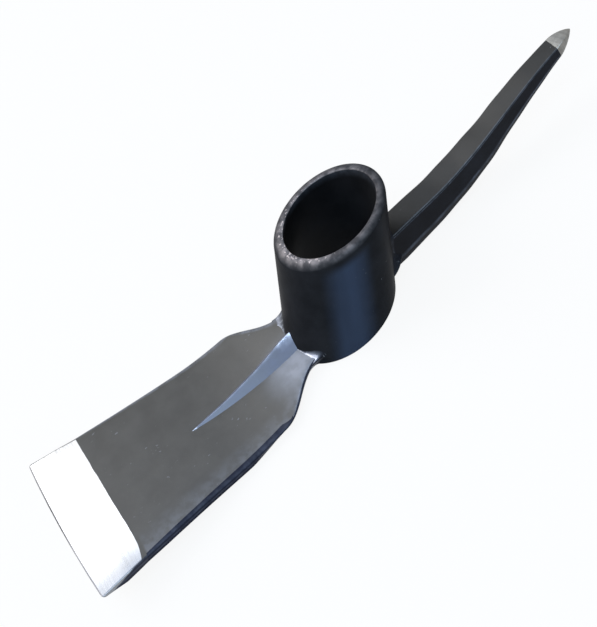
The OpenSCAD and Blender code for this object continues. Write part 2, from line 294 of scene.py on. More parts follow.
def part_way(value, start, end):
    """How far a value lies on the way from start to end, from 0 to 1."""
    return np.clip((value - start) / (end - start), 0, 1)


def ease(part):
    """Half a cosine wave from 0 to 1, level at both ends."""
    return (1 - np.cos(np.pi * np.clip(part, 0, 1))) / 2


def smooth(part):
    """Cubic step from 0 to 1, level at both ends."""
    part = np.clip(part, 0, 1)
    return part * part * (3 - 2 * part)


def spread(count):
    """Shares from 0 to 1 that lie closer together near both ends."""
    return ease(np.linspace(0, 1, count))


def xyz(x, y, z):
    """Points from coordinates, which may differ in shape."""
    return np.stack(np.broadcast_arrays(x, y, z), axis=-1)


def parabola(start, middle, end, count):
    """Points, along a new axis, on the parabola that leaves start towards middle and meets end from there."""
    t = np.linspace(0, 1, count)[:, None]
    start, middle, end = (point[..., None, :] for point in (start, middle, end))
    return (1 - t) ** 2 * start + 2 * t * (1 - t) * middle + t**2 * end


def soft_section(corners, cuts):
    """Closed outlines with soft corners, for many rows at once.

    corners has the shape (rows, corners, 2), and cuts gives each corner's rounding. A corner becomes a
    parabola that leaves and meets its two sides at the cut's distance, or at the most that a side allows.
    The sides get filler points that lie closer together near the corners. The second result is 1 in the
    middle of a corner and 0 on the sides.
    """
    ahead = np.roll(corners, -1, axis=1) - corners
    run = np.linalg.norm(ahead, axis=2, keepdims=True)
    heading = ahead / run
    most = MOST_OF_SIDE * run
    cuts = cuts[..., None]
    start = corners - np.roll(heading, 1, axis=1) * np.minimum(cuts, np.roll(most, 1, axis=1))
    end = corners + heading * np.minimum(cuts, most)
    gap = np.roll(start, -1, axis=1) - end
    filler = end[:, :, None] + gap[:, :, None] * spread(SIDE_STEPS + 2)[1:-1, None]
    rows, count = corners.shape[:2]
    outline = np.concatenate([parabola(start, corners, end, BEND_STEPS), filler], axis=2).reshape(rows, -1, 2)
    t = np.linspace(0, 1, BEND_STEPS)
    edge = np.concatenate([4 * t * (1 - t), np.zeros(SIDE_STEPS)])
    return outline, np.tile(edge, (rows, count))


# Meshes
def grid_quads(index):
    """Faces between the rows of a grid of point numbers, whose columns close on themselves."""
    ahead = np.roll(index, -1, axis=1)
    return np.stack([index[:-1], index[1:], ahead[1:], ahead[:-1]], axis=-1).reshape(-1, 4)


def add_object(name, points, faces):
    """A new object of the given points and faces, linked to the scene."""
    mesh = bpy.data.meshes.new(name)
    mesh.from_pydata(points.reshape(-1, 3).tolist(), [], faces)
    made = bpy.data.objects.new(name, mesh)
    bpy.context.scene.collection.objects.link(made)
    return made


def make_piece(name, points, edge, node, finishes, second=None, ring=False):
    """A closed skin over a grid of points with the shape (rows, columns, 3), riding on the head.

    Columns close on themselves. Rows close on themselves too in a ring, and otherwise both ends get a cap.
    The faces are turned round where the volume that they enclose comes out negative. The edge values,
    1 on exposed edges, are kept on the mesh for the paint's wear and for painted highlights, reflections
    and shade. The columns that second marks take the second finish, and so do the caps of a piece with two.
    """
    rows, columns = points.shape[:2]
    index = np.arange(rows * columns).reshape(rows, columns)
    caps = [] if ring else [index[0].tolist(), index[-1, ::-1].tolist()]
    quads = grid_quads(np.vstack([index, index[:1]]) if ring else index)
    a, b, c, d = points.reshape(-1, 3)[quads].transpose(1, 0, 2)
    volume = np.sum(a * (np.cross(b, c) + np.cross(c, d)))
    faces = quads.tolist() + caps
    if volume < 0:
        faces = [face[::-1] for face in faces]
    piece = add_object(name, points, faces)
    mesh = piece.data
    if mesh.validate():
        raise RuntimeError(f"{name} has faces that can't be kept")
    mesh.polygons.foreach_set("use_smooth", np.ones(len(faces), bool))
    mesh.set_sharp_from_angle(angle=SHARP_ANGLE)
    # Wear, and on some pieces painted highlights, reflections and shade
    wear = mesh.attributes.new("edge", "FLOAT", "POINT")
    wear.data.foreach_set("value", np.broadcast_to(edge, (rows, columns)).astype(np.float32).ravel())
    for finish in finishes:
        mesh.materials.append(finish)
    if second is not None:
        chosen = np.ones(len(faces), np.int32)
        chosen[: len(quads)] = np.broadcast_to(second, (len(quads) // columns, columns)).ravel()
        mesh.polygons.foreach_set("material_index", chosen)
    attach(piece, "root")
    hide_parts(node)


# Eye
def eye_taper(eye):
    """How much the outer radius shrinks from the foot to the mouth, apart from the swelling."""
    return eye.foot_radius - eye.bore_radius - eye.mouth_wall


def eye_point(eye, angle, depth, height):
    """Points of the eye at an angle about the bore, a share of the depth of its wall, and a height.

    The outside is a cone about the bore's axis, and swells towards the mouth on the pick's side. The bore is
    round, and opens on that side too, as the fourth power of the height. The place along the axis is solved
    from the height, so that rows of one height lie in a level plane.
    """
    upright, leaning = math.cos(eye.lean), math.sin(eye.lean)
    to_pick = ((1 + np.cos(angle)) / 2) ** 2
    swell = eye.mouth_swell * height / eye.height * to_pick
    flare = eye.bore_flare * (height / eye.height) ** 4 * to_pick
    taper = eye_taper(eye) * upright / eye.height * (1 - depth)
    near = mix(eye.foot_radius + swell, eye.bore_radius + flare, depth)
    tilt = np.cos(angle) * leaning
    along = (height + near * tilt) / (upright + taper * tilt)
    radius = near - taper * along
    out = radius * np.cos(angle)
    return xyz(along * leaning + out * upright, radius * np.sin(angle), along * upright - out * leaning)


def eye_wall(eye, y, height, to_pick=False):
    """How far out the outside of the eye lies at y and a height, on the blade's side or the pick's."""
    widest = 0.95
    radius = eye.foot_radius - eye_taper(eye) * height / eye.height
    angle = np.arcsin(np.clip(y / radius, -widest, widest))
    if to_pick:
        return eye_point(eye, angle, 0, height)[..., 0]
    return -eye_point(eye, np.pi - angle, 0, height)[..., 0]


def eye_profile(eye):
    """Closed outline of the wall as shares of depth and heights, with quarter circles at its four edges.

    It runs up the outside, over the rim, down the bore and back under the foot. Its wear comes second.
    """
    round_steps, outside_steps, bore_steps = 9, 30, 16
    quarter = np.linspace(0, np.pi / 2, round_steps)
    foot_wall = eye.foot_radius - eye.bore_radius
    rise = spread(outside_steps)
    fall = np.linspace(1, 0, bore_steps)
    outside = np.stack([0 * rise, mix(eye.foot_round, eye.height - eye.rim_round, rise)], axis=1)
    rim = eye.rim_round * np.stack([(1 - np.cos(quarter)) / eye.mouth_wall, np.sin(quarter) - 1], axis=1)
    lip = eye.bore_round * np.stack([(np.sin(quarter) - 1) / eye.mouth_wall, np.cos(quarter) - 1], axis=1)
    bore = np.stack([0 * fall + 1, mix(eye.bore_round, eye.height - eye.bore_round, fall)], axis=1)
    inner = eye.bore_round * np.stack([(np.cos(quarter) - 1) / foot_wall, 1 - np.sin(quarter)], axis=1)
    outer = eye.foot_round * np.stack([(1 - np.sin(quarter)) / foot_wall, 1 - np.cos(quarter)], axis=1)
    mouth = np.array([0, eye.height])
    at_bore = np.array([1, 0])
    parts = [outside[:-1], rim + mouth, lip + mouth + at_bore, bore[1:-1], inner + at_bore, outer[:-1]]
    wear_ends = [(0, 0), (-0.15, 1), (1, 0.9), (0, 0), (0.2, 0.2), (0.35, 0.35)]
    wear = np.concatenate([np.linspace(*ends, len(part)) for ends, part in zip(wear_ends, parts)])
    return np.concatenate(parts), np.maximum(wear, 0)


def eye_surface(eye):
    """The wall's outline carried round the bore: a closed ring of closed outlines.

    The wear of its edges is greatest on the blade's side and least on the pick's, as a cosine; on the blade's
    side it is partly a painted highlight. The lip of the bore is made bright on its left, towards the pick, as
    a painted highlight. The last result marks the columns of faces in the bore.
    """
    turns = 160
    lip_start, bore_start = 0.9, 0.999
    mean_wear, wear_and_highlight_change, lip_highlight, lip_turn = 0.8, 0.35, 0.3, np.pi / 4
    profile, wear = eye_profile(eye)
    depth, height = profile.T
    angle = np.linspace(0, 2 * np.pi, turns, endpoint=False)[:, None]
    in_bore = np.minimum(depth, np.roll(depth, -1)) > bore_start
    lip = (depth > lip_start) & (depth < bore_start) & (height > eye.height - eye.bore_round)
    # Wear, and on the blade's side partly a painted highlight
    wear = wear * (mean_wear - wear_and_highlight_change * np.cos(angle))
    # Painted highlight on the lip of the bore, on its left
    bright = lip_highlight * lip * np.clip(np.cos(angle - lip_turn), 0, 1)
    return eye_point(eye, angle, depth, height), wear + bright, in_bore


# Blade
def corner_place(blade):
    """Distance from the origin to the corners of the cutting edge."""
    return blade.edge - blade.edge_bow


def shoulder_place(blade):
    """Distance from the origin to the shoulders."""
    return corner_place(blade) - blade.shoulder


def bend_place(blade):
    """Distance from the origin to the line where the blade begins to rise."""
    return shoulder_place(blade) - blade.bend_lead


def crease_place(blade):
    """Distance from the origin to the place where the upper edges are sharpest."""
    return shoulder_place(blade) - blade.crease_lead


def half_width(blade, x):
    """Half width at a distance x: a cosine from neck to shoulders, then a flaring, hollow side."""
    shoulder = shoulder_place(blade)
    neck = mix(blade.neck_width, blade.shoulder_width, ease(part_way(x, blade.flank, shoulder)))
    part = part_way(x, shoulder, corner_place(blade))
    side = mix(blade.shoulder_width, blade.edge_width, part) - 8 * blade.side_bow * part * (1 - part)
    return np.where(x < shoulder, neck, side) / 2


def neck_thickness(blade, x):
    """Thickness of the neck: a cubic step from the root to the bend, and even past it."""
    part = part_way(x, blade.flank, bend_place(blade))
    return mix(blade.root_thickness, blade.neck_thickness, smooth(part))


def on_bevel(blade, x):
    """Share of the way over the bevel to the cutting edge."""
    return part_way(x, blade.edge - blade.bevel, blade.edge)


def past_bit(blade, x):
    """Cubic step from the line where the bit begins, as long as the bevel."""
    return smooth((x - blade.bit) / blade.bevel)


def blade_thickness(blade, x):
    """Thickness: that of the neck, then a straight line to the bit, then the bevel to the cutting edge."""
    plate = (blade.thickness - blade.neck_thickness) * part_way(x, bend_place(blade), blade.bit)
    bevel = (blade.edge_thickness - blade.thickness) * on_bevel(blade, x)
    return neck_thickness(blade, x) + plate + bevel


def blade_top(blade, x):
    """Height of the upper face: the neck, then a bend whose slope is a cubic step, then a straight rise."""
    run = np.clip((x - bend_place(blade)) / blade.bend, 0, None)
    lift = np.where(run < 1, run**3 - run**4 / 2, run - 0.5)
    return neck_thickness(blade, x) + lift * blade.bend * math.tan(blade.rise)


def side_fall(blade, x, y):
    """Fall of the upper face in the outer two thirds, a parabola that runs out at the eye and at the bit."""
    plain = smooth((x - blade.flank) / blade.tuck) * (1 - past_bit(blade, x))
    return blade.crown * part_way(np.abs(y) / half_width(blade, x), 1 / 3, 1) ** 2 * plain


def blade_outline(blade, x):
    """Sections across the blade at distances x, as widths and shares of the thickness, with soft edges.

    Six corners: the upper face, two upright edges, and the draft that narrows the underside of the neck. The
    upper edges are sharpest at the crease, and their rounding widens from there at a straight slope.
    """
    least_inset, widening, most_above, most_below = 0.02, 0.4, 0.8, 0.3
    shoulder, corner = shoulder_place(blade), corner_place(blade)
    thick = blade_thickness(blade, x)
    turned = part_way(x, corner - blade.corner_round, corner)
    half = half_width(blade, x) - blade.corner_round * (1 - np.sqrt(1 - turned**2))
    gone = part_way(x, shoulder, shoulder + blade.draft_run)
    inset = blade.draft * (1 - gone) + least_inset * thick
    ledge = mix(blade.draft_share, blade.ledge_share, gone) * thick
    across = np.stack([half, -half, -half, inset - half, half - inset, half], axis=1)
    height = np.stack([thick, thick, ledge, 0 * x, 0 * x, ledge], axis=1)
    soft = mix(blade.top_round, blade.end_round, part_way(x, shoulder, blade.bit))
    soft = np.minimum(soft, blade.bit_round + widening * np.abs(x - crease_place(blade)))
    upper = np.minimum(mix(soft, blade.bit_round, past_bit(blade, x)), most_above * thick)
    lower = np.minimum(blade.low_round, most_below * thick)
    cuts = np.stack([upper] * 2 + [lower] * 4, axis=1)
    outline, edge = soft_section(np.stack([across, height], axis=-1), cuts)
    return outline[..., 0], outline[..., 1] / thick[:, None], edge


def blade_wear_and_sheen(blade, x, far, y, level, edge):
    """Wear and painted sheen of the blade: full wear on the cutting edge, and less on the other edges up to
    the bit.

    The upper face adds painted reflections to the wear, as a bell curve on the neck and along the right side.
    """
    plate_wear, neck_sheen, side_sheen, side_sheen_start = 0.6, 0.4, 0.32, 0.62
    keen = part_way(x, corner_place(blade) - blade.edge_shade_width, corner_place(blade))
    apart = np.hypot(far + blade.sheen_place[0], y - blade.sheen_place[1])
    # Painted reflection on the neck, as a bell curve
    neck = neck_sheen * np.exp(-((apart / blade.sheen_radius) ** 2))
    plain = part_way(x, blade.bit, blade.bit - blade.edge_shade_width)
    # Painted reflection: a band of bluish rubbed steel along the right upper edge only
    side = side_sheen * plain * smooth(part_way(-y / half_width(blade, x), side_sheen_start, 1))
    edges = np.maximum(mix(plate_wear, 1, past_bit(blade, x)) * edge, keen)
    return np.maximum(edges, level**4 * np.maximum(neck, side))


def blade_surface(eye, blade, start, end, rows):
    """Sections of the blade carried from one distance to another, at shares of the way, and their wear.

    Near the eye the rows bend round its wall, lean with it and tuck into it, a little above its foot. Near
    the bit they lean with its joint, and towards the edge they take on its bow.
    """
    tucked_height = 0.3 * MM
    x = mix(start, end, rows)
    y, level, edge = blade_outline(blade, x)
    x = x[:, None]
    root = part_way(x, shoulder_place(blade), blade.flank)
    across = np.clip(np.abs(y), 0, blade.neck_width / 2)
    reach = eye_wall(eye, across, 0)
    lean = eye_wall(eye, across, level * blade.root_thickness) - reach
    joint = np.clip(1 - np.abs(x - blade.bit) / blade.scarf_fade, 0, 1) ** 2
    bow = on_bevel(blade, x) * (1 - (y / half_width(blade, x)) ** 2)
    far = x + root * (reach - blade.flank) + root**6 * lean
    far = far + blade.scarf * joint * (1 - level) + blade.edge_bow * bow
    z = blade_top(blade, far) - (1 - level) * blade_thickness(blade, far) - level * side_fall(blade, x, y)
    lowest = tucked_height * part_way(x, blade.flank, blade.flank - MM)
    return xyz(-far, y, np.maximum(z, lowest)), blade_wear_and_sheen(blade, x, far, y, level, edge)


# Rib
def rib_surface(eye, blade, rib):
    """A ridge along the neck. Its height falls in a line, and its half width as a power of what is left.

    Across, the height is a hyperbola with a rounded crest. The underside lies inside the blade. Wear is full
    on the crest, and twice that at the crest's root and at the tip; on the crest and its root it is partly a
    painted highlight.
    """
    rows, top_steps, low_steps = 60, 41, 7
    last_row, low_width = 0.995, 0.9
    root_glint_and_wear, tip_wear, keen, chipped = (0.05, 0.03), (0.935, 0.955), 5, 1.8
    along = np.linspace(0, last_row, rows)[:, None]
    across = np.concatenate([np.linspace(-1, 1, top_steps), np.linspace(low_width, -low_width, low_steps)])
    top = np.concatenate([np.ones(top_steps), np.zeros(low_steps)])
    blunt = rib.crest_round
    ridge = (math.hypot(1, blunt) - np.hypot(across, blunt)) / (math.hypot(1, blunt) - blunt)
    rise = top * ridge * rib.height
    root = eye_wall(eye, across * rib.width / 2, blade.root_thickness + rise)
    end = eye_wall(eye, 0.0, 0.0) + rib.length
    x = mix(root - rib.tuck, end, along)
    part = part_way(x, end - rib.length, end)
    y = across * rib.width / 2 * (1 - part) ** rib.flare
    z = blade_top(blade, x) + rise * (1 - part) - (1 - top) * rib.sink
    chip = smooth(part_way(part, *root_glint_and_wear))
    # Wear along the crest, partly a painted highlight, doubled at the root
    crest = top * np.clip(1 - np.abs(across) * mix(keen, chipped, chip), 0, 1) * (1 + chip)
    return xyz(-x, y, z), np.maximum(crest, 2 * smooth(part_way(part, *tip_wear)))


# Pick
def pick_reach(eye, pick):
    """Distance from the origin to the wall of the eye at the pick's upper face."""
    return float(eye_wall(eye, 0.0, pick.seat + pick.root_depth, True))


def pick_crest(eye, pick, x):
    """Height of the upper face: level at first, then a cubic step up to the tip."""
    part = ((x - pick_reach(eye, pick)) / pick.length - pick.level) / (1 - pick.level)
    return pick.seat + pick.root_depth + pick.rise * smooth(part)


def pick_outline(pick):
    """Section of the pick in half widths and shares of the depth: chamfers above, steep bevels below."""
    crest, keel = 1 - pick.crest_cut, 1 - pick.keel_cut
    drop, rise = 1 - pick.crest_drop, pick.keel_rise
    corners = np.array(
        [[crest, 1], [-crest, 1], [-1, drop], [-1, rise], [-keel, 0], [keel, 0], [1, rise], [1, drop]]
    )
    top_cut, side_cut, low_cut = 0.05, 0.03, 0.08
    cuts = np.array([top_cut, top_cut, side_cut, low_cut, low_cut, low_cut, low_cut, side_cut])
    outline, edge = soft_section(corners[None], cuts[None])
    return outline[0, :, 0], outline[0, :, 1], edge[0]


def arm_surface(eye, pick):
    """Sections of the pick carried from inside the wall of the eye to the point.

    Widths and depths taper in straight lines, and every side swells by half a sine wave along the length,
    with the hammer's uneven waves on it.
    """
    rows, slow, fast, weaker = 70, 17, 37, 0.6
    wide, level, edge = pick_outline(pick)
    root = eye_wall(eye, wide * pick.root_width / 2, pick.seat + level * pick.root_depth, True)
    x = mix(root - pick.tuck, pick.point, np.linspace(0, 1, rows)[:, None])
    part = part_way(x, pick_reach(eye, pick), pick.point)
    waves = np.sin(slow * part + wide) + weaker * np.sin(fast * part + 2 * level)
    belly = (pick.belly + pick.hammered * waves) * np.sin(np.pi * part)
    y = wide * (mix(pick.root_width, pick.end_width, part) / 2 + belly)
    z = pick_crest(eye, pick, x) - (1 - level) * mix(pick.root_depth, pick.end_depth, part)
    return xyz(x, y, z + (2 * level - 1) * belly), edge


def point_surface(eye, pick):
    """The arm's last section shrunk to a rounded nose: width and depth follow a bent ellipse."""
    rows, last_row, fullness, bluntness, tip_level = 40, 0.9995, 1.55, 0.8, 0.24
    wide, level, edge = pick_outline(pick)
    along = np.sin(np.linspace(0, np.pi / 2, rows))[:, None]
    nose = (1 - np.minimum(along, last_row) ** fullness) ** bluntness
    x = mix(pick.point, pick.tip, along)
    middle = pick_crest(eye, pick, x) - pick.end_depth * mix(0.5, tip_level, along)
    return xyz(x, wide * pick.end_width / 2 * nose, middle + (level - 0.5) * pick.end_depth * nose), edge


# Welds
def fillet(seam, wall_toe, far_toe, inside):
    """A hollow bead along a seam: parabolas from toe to toe by way of the seam, closed in the joint."""
    bead_steps = 11
    return np.concatenate([parabola(wall_toe, seam, far_toe, bead_steps), inside[:, None]], axis=1)


def seam_path(corners, cut, count):
    """An open path through corners in y and z, rounded at each inner corner, and its outward normals.

    A rounding takes the cut's length of both its sides, or the most that a side allows. Points are spread
    evenly by length along the rounded path.
    """
    round_steps = 9
    parts = [corners[:1]]
    for before, corner, after in zip(corners[:-2], corners[1:-1], corners[2:]):
        back, ahead = before - corner, after - corner
        start = corner + back * min(cut / np.linalg.norm(back), MOST_OF_SIDE)
        end = corner + ahead * min(cut / np.linalg.norm(ahead), MOST_OF_SIDE)
        parts.append(parabola(start, corner, end, round_steps))
    raw = np.concatenate(parts + [corners[-1:]])
    run = np.concatenate([[0], np.cumsum(np.linalg.norm(np.diff(raw, axis=0), axis=1))])
    even = np.linspace(0, run[-1], count)
    path = np.stack([np.interp(even, run, raw[:, k]) for k in range(2)], axis=1)
    heading = np.gradient(path, axis=0)
    heading /= np.linalg.norm(heading, axis=1, keepdims=True)
    return path, np.stack([-heading[:, 1], heading[:, 0]], axis=1)


def bead_ripple(weld, count, phase):
    """Swelling of a weld along its length: two sine waves of unlike pitch."""
    slow, fast, slow_share = 5, 13, 0.7
    along = np.linspace(0, 2 * np.pi, count)
    waves = mix(np.sin(fast * along + 2 * phase), np.sin(slow * along + phase), slow_share)
    return 1 + weld.ripple * waves


def blade_weld_surface(eye, blade, weld, side):
    """Bead from the rib over the neck and down its flank, on the left (side 1) or the right (side -1).

    Its reach is small beside the rib, full at the corner of the neck and a little smaller at the foot. At
    that corner it climbs the eye. It is worn along its toe on top of the neck, on the right more, as a painted
    highlight.
    """
    rows, foot, rib_end, widest, past_toe = 60, 0.4 * MM, 0.4, 0.93, 1.4
    which = "left" if side > 0 else "right"
    climb, on_top, rub = (getattr(weld, f"{which}_{part}") for part in ("corner", "top", "rub"))
    half, root = blade.neck_width / 2, blade.root_thickness
    ledge = blade.draft_share * root
    foot_half = half - blade.draft * (1 - foot / ledge)
    corners = np.array([[0, root], [half, root], [half, ledge], [foot_half, foot]])
    path, normal = seam_path(corners, blade.top_round, rows)
    y, z = path.T
    outward, upward = normal[:, 0], np.maximum(normal[:, 1], 0)
    sideways = outward**2
    z = z + (blade_top(blade, eye_wall(eye, y, z)) - root) * z / root
    wall = eye_wall(eye, y, z)
    swell = mix(weld.rib_share, 1, smooth(part_way(y / half, rib_end, 1))) * bead_ripple(weld, rows, 1 + side)
    swell = swell * mix(weld.foot_share, 1, smooth(z / root))
    up_y = np.minimum(y + outward * weld.eye_leg * swell, widest * eye.foot_radius)
    up_z = z + upward * weld.eye_leg * swell * mix(1, climb, 2 * outward * upward)
    far = wall + weld.neck_leg * swell * mix(on_top, 1, sideways)
    far_y = y + (half_width(blade, far) - half_width(blade, wall) - weld.toe_sink) * outward
    rise = blade_top(blade, far) - blade_top(blade, wall) - side_fall(blade, blade.flank + far - wall, far_y)
    far_z = z + (rise - weld.toe_sink) * upward
    deep_y, deep_z = y - outward * weld.sink, z - normal[:, 1] * weld.sink
    wall_toe = xyz(weld.toe_sink - eye_wall(eye, up_y, up_z), up_y * side, up_z)
    far_toe = xyz(-far, far_y * side, far_z)
    bead = fillet(xyz(-wall, y * side, z), wall_toe, far_toe, xyz(weld.sink - wall, deep_y * side, deep_z))
    to_toe = np.minimum(np.linspace(0, past_toe, bead.shape[1]), 1) ** 3
    # Wear along the toe, raised on the right into a painted highlight
    return bead, rub * (1 - sideways)[:, None] * to_toe


def pick_weld_surface(eye, pick, weld):
    """Bead up one side of the pick's root, over its top and down the other side, with a drop near its start.

    At the drop, a bell curve along the bead, the reach almost doubles and the hollow bead turns into a lump.
    At both ends the reach runs out as a square root.
    """
    rows, start_share, corner_cut, end_share = 140, 0.06, 1.5 * MM, 0.1
    drop_place, drop_width, drop_reach, drop_lump = 0.08, 0.055, 0.9, 1.6
    half = pick.root_width / 2
    low = pick.seat + start_share * pick.root_depth
    top = pick.seat + pick.root_depth
    corners = np.array([[-half, low], [-half, top], [half, top], [half, low]])
    path, normal = seam_path(corners, corner_cut, rows)
    along = np.linspace(0, 1, rows)
    drop = np.exp(-(((along - drop_place) / drop_width) ** 2))
    ends = np.sqrt(part_way(np.minimum(along, 1 - along), 0, end_share))
    leg = weld.pick_leg * (bead_ripple(weld, rows, phase=2.0) + drop_reach * drop) * ends
    out_y, out_z = (path + normal * leg[:, None]).T
    wall = eye_wall(eye, *path.T, True)
    wall_toe = xyz(eye_wall(eye, out_y, out_z, True) - weld.toe_sink, out_y, out_z)
    far_toe = xyz(wall + leg, *(path - normal * weld.toe_sink).T)
    inside = xyz(wall - weld.sink, *(path - normal * weld.sink).T)
    middle = mix(xyz(wall, *path.T), (wall_toe + far_toe) / 2, drop_lump * drop[:, None])
    return fillet(middle, wall_toe, far_toe, inside)


# Shader nodes
def fill_socket(tree, socket, value):
    """Links a socket where the value is another node's output, and otherwise sets it."""
    if isinstance(value, bpy.types.NodeSocket):
        tree.links.new(value, socket)
    else:
        socket.default_value = value


def add_node(tree, kind, settings=None, **sockets):
    """A node with its settings, and with each named socket set to a value or linked to an output."""
    made = tree.nodes.new(kind)
    for name, value in (settings or {}).items():
        setattr(made, name, value)
    for name, value in sockets.items():
        fill_socket(tree, made.inputs[name.replace("_", " ")], value)
    return made


def operation_node(tree, kind, operation, *values):
    """The outputs of a node that works out an operation on values in order."""
    made = add_node(tree, kind, {"operation": operation})
    for socket, value in zip(made.inputs, values):
        fill_socket(tree, socket, value)
    return made.outputs


def math_node(tree, operation, *values):
    """The result of an operation on numbers."""
    return operation_node(tree, "ShaderNodeMath", operation, *values)[0]


def times(tree, first, second):
    """The product of two numbers."""
    return math_node(tree, "MULTIPLY", first, second)


def plus(tree, first, second):
    """The sum of two numbers."""
    return math_node(tree, "ADD", first, second)


def vector_node(tree, operation, *values):
    """The outputs of an operation on vectors: a Vector and a Value."""
    return operation_node(tree, "ShaderNodeVectorMath", operation, *values)


def step_node(tree, value, low, high, out_low=0.0, out_high=1.0):
    """A smooth step of a value, from one range to another."""
    ranges = {"From_Min": low, "From_Max": high, "To_Min": out_low, "To_Max": out_high}
    made = add_node(tree, "ShaderNodeMapRange", {"interpolation_type": "SMOOTHSTEP"}, Value=value, **ranges)
    return made.outputs[0]


def line_node(tree, value, low, high):
    """A straight run of a value from 0 at one end of a range to 1 at the other."""
    return add_node(tree, "ShaderNodeMapRange", Value=value, From_Min=low, From_Max=high).outputs[0]


def blend_node(tree, part, first, second):
    """A blend of two colours by a share. The node's sockets for other kinds of values come first."""
    made = add_node(tree, "ShaderNodeMix", {"data_type": "RGBA"}, Factor=part)
    fill_socket(tree, made.inputs[6], first)
    fill_socket(tree, made.inputs[7], second)
    return made.outputs[2]


def noise_node(tree, vector, scale, detail=2.0, roughness=0.5):
    """Noise of a scale in cells to the metre."""
    sockets = {"Vector": vector, "Scale": scale, "Detail": detail, "Roughness": roughness}
    return add_node(tree, "ShaderNodeTexNoise", **sockets).outputs["Fac"]


def stretch_node(tree, vector, scale):
    """Coordinates times a scale along each axis."""
    return add_node(tree, "ShaderNodeMapping", Vector=vector, Scale=scale).outputs[0]


def rotate_node(tree, vector, axis, angle):
    """Coordinates turned about an axis through the origin."""
    settings = {"rotation_type": f"{axis}_AXIS"}
    return add_node(tree, "ShaderNodeVectorRotate", settings, Vector=vector, Angle=angle).outputs[0]


def axes_node(tree, vector):
    """The X, Y and Z of a vector."""
    return add_node(tree, "ShaderNodeSeparateXYZ", Vector=vector).outputs


def edge_node(tree):
    """The wear kept on the mesh, with painted highlights, reflections and shade."""
    return add_node(tree, "ShaderNodeAttribute", {"attribute_name": "edge"}).outputs["Fac"]


def shaded(tone, factor):
    """A colour made darker or paler by a factor."""
    return [part * factor for part in tone[:3]] + [1]


# Shared effects
def new_group(name, numbers, results):
    """An empty shader node group that takes a vector and named numbers, and gives named numbers."""
    group = bpy.data.node_groups.new(name, "ShaderNodeTree")
    group.interface.new_socket("Vector", in_out="INPUT", socket_type="NodeSocketVector")
    for in_out, names in (("INPUT", numbers), ("OUTPUT", results)):
        for socket in names:
            group.interface.new_socket(socket, in_out=in_out, socket_type="NodeSocketFloat")
    return group, group.nodes.new("NodeGroupInput").outputs, group.nodes.new("NodeGroupOutput").inputs


def use_group(tree, name, build, **sockets):
    """The outputs of a shared node group with its own values. It is built when it is first asked for."""
    group = bpy.data.node_groups.get(name) or build()
    return add_node(tree, "ShaderNodeGroup", {"node_tree": group}, **sockets).outputs


def forged_skin_group():
    """Forged skin: broad hammered unevenness and a fine grain, as a height, and a cloudy tone."""
    grain_depth, tone_range = 0.12, (0.2, 0.8)
    tree, given, result = new_group("Forged skin", ["Hammer Scale", "Grain Scale"], ["Height", "Tone"])
    hammer = noise_node(tree, given["Vector"], given["Hammer Scale"])
    grain = noise_node(tree, given["Vector"], given["Grain Scale"], detail=3.0, roughness=0.6)
    tree.links.new(plus(tree, hammer, times(tree, grain, grain_depth)), result["Height"])
    cloud = noise_node(tree, given["Vector"], given["Hammer Scale"], detail=3.0)
    tree.links.new(step_node(tree, cloud, *tone_range), result["Tone"])
    return tree


def scuff_group():
    """Pale scuffs and dust: the peaks of a fine noise drawn out into dashes, in patches of a broad one."""
    drawn_out, patch_scale, mark_range = (0.5, 1.0, 1.0), 70.0, (0.88, 0.96)
    tree, given, result = new_group("Scuffs", ["Scale", "Amount"], ["Mask"])
    drawn = stretch_node(tree, given["Vector"], drawn_out)
    fine = noise_node(tree, drawn, given["Scale"], detail=3.0, roughness=0.6)
    gathered = times(tree, noise_node(tree, given["Vector"], patch_scale), given["Amount"])
    tree.links.new(step_node(tree, plus(tree, fine, gathered), *mark_range), result["Mask"])
    return tree


def edge_rub_group():
    """Paint rubbed off exposed edges, and painted highlights: a haze that follows a broad noise, and chips at
    a fine one's peaks.
    """
    haze_scale, haze_noise, haze_range = 220.0, (0.35, 0.65), (0.22, 0.62)
    chip_scale, chip_range = 700.0, (0.56, 0.62)
    tree, given, result = new_group("Edge rub", ["Edge", "Amount"], ["Mask"])
    exposed = times(tree, given["Edge"], given["Amount"])
    broad = noise_node(tree, given["Vector"], haze_scale, detail=4.0)
    haze = times(tree, step_node(tree, broad, *haze_noise, *haze_range), exposed)
    fine = times(tree, noise_node(tree, given["Vector"], chip_scale), exposed)
    chips = step_node(tree, fine, *chip_range)
    tree.links.new(math_node(tree, "MAXIMUM", haze, chips), result["Mask"])
    return tree


def grinding_group():
    """Grinding lines: noise drawn out along one direction, in two sizes."""
    drawn_out, broad_scale, fine_scale = (40.0, 2600.0, 40.0), 0.35, 1.0
    tree, given, result = new_group("Grinding lines", ["Turn"], ["Lines"])
    turned = rotate_node(tree, given["Vector"], "Z", given["Turn"])
    drawn = stretch_node(tree, turned, drawn_out)
    both = plus(tree, noise_node(tree, drawn, broad_scale), noise_node(tree, drawn, fine_scale))
    tree.links.new(times(tree, both, 0.5), result["Lines"])
    return tree


# Materials
def new_material(name, specular=0.5):
    """A material with a Principled shader, its tree, its shader and its Object coordinates."""
    material = bpy.data.materials.new(name)
    material.use_nodes = True
    tree = material.node_tree
    shader = tree.nodes["Principled BSDF"]
    shader.inputs["Specular IOR Level"].default_value = specular
    coords = tree.nodes.new("ShaderNodeTexCoord").outputs["Object"]
    return material, tree, shader, coords


def finish_shader(tree, shader, base, rough, metal, height, depth):
    """Feeds a shader with its layers, and its normal with a bump of the given depth in metres."""
    bump = add_node(tree, "ShaderNodeBump", Height=height, Distance=depth, Strength=1.0).outputs["Normal"]
    layers = {"Base Color": base, "Roughness": rough, "Metallic": metal, "Normal": bump}
    for name, value in layers.items():
        fill_socket(tree, shader.inputs[name], value)


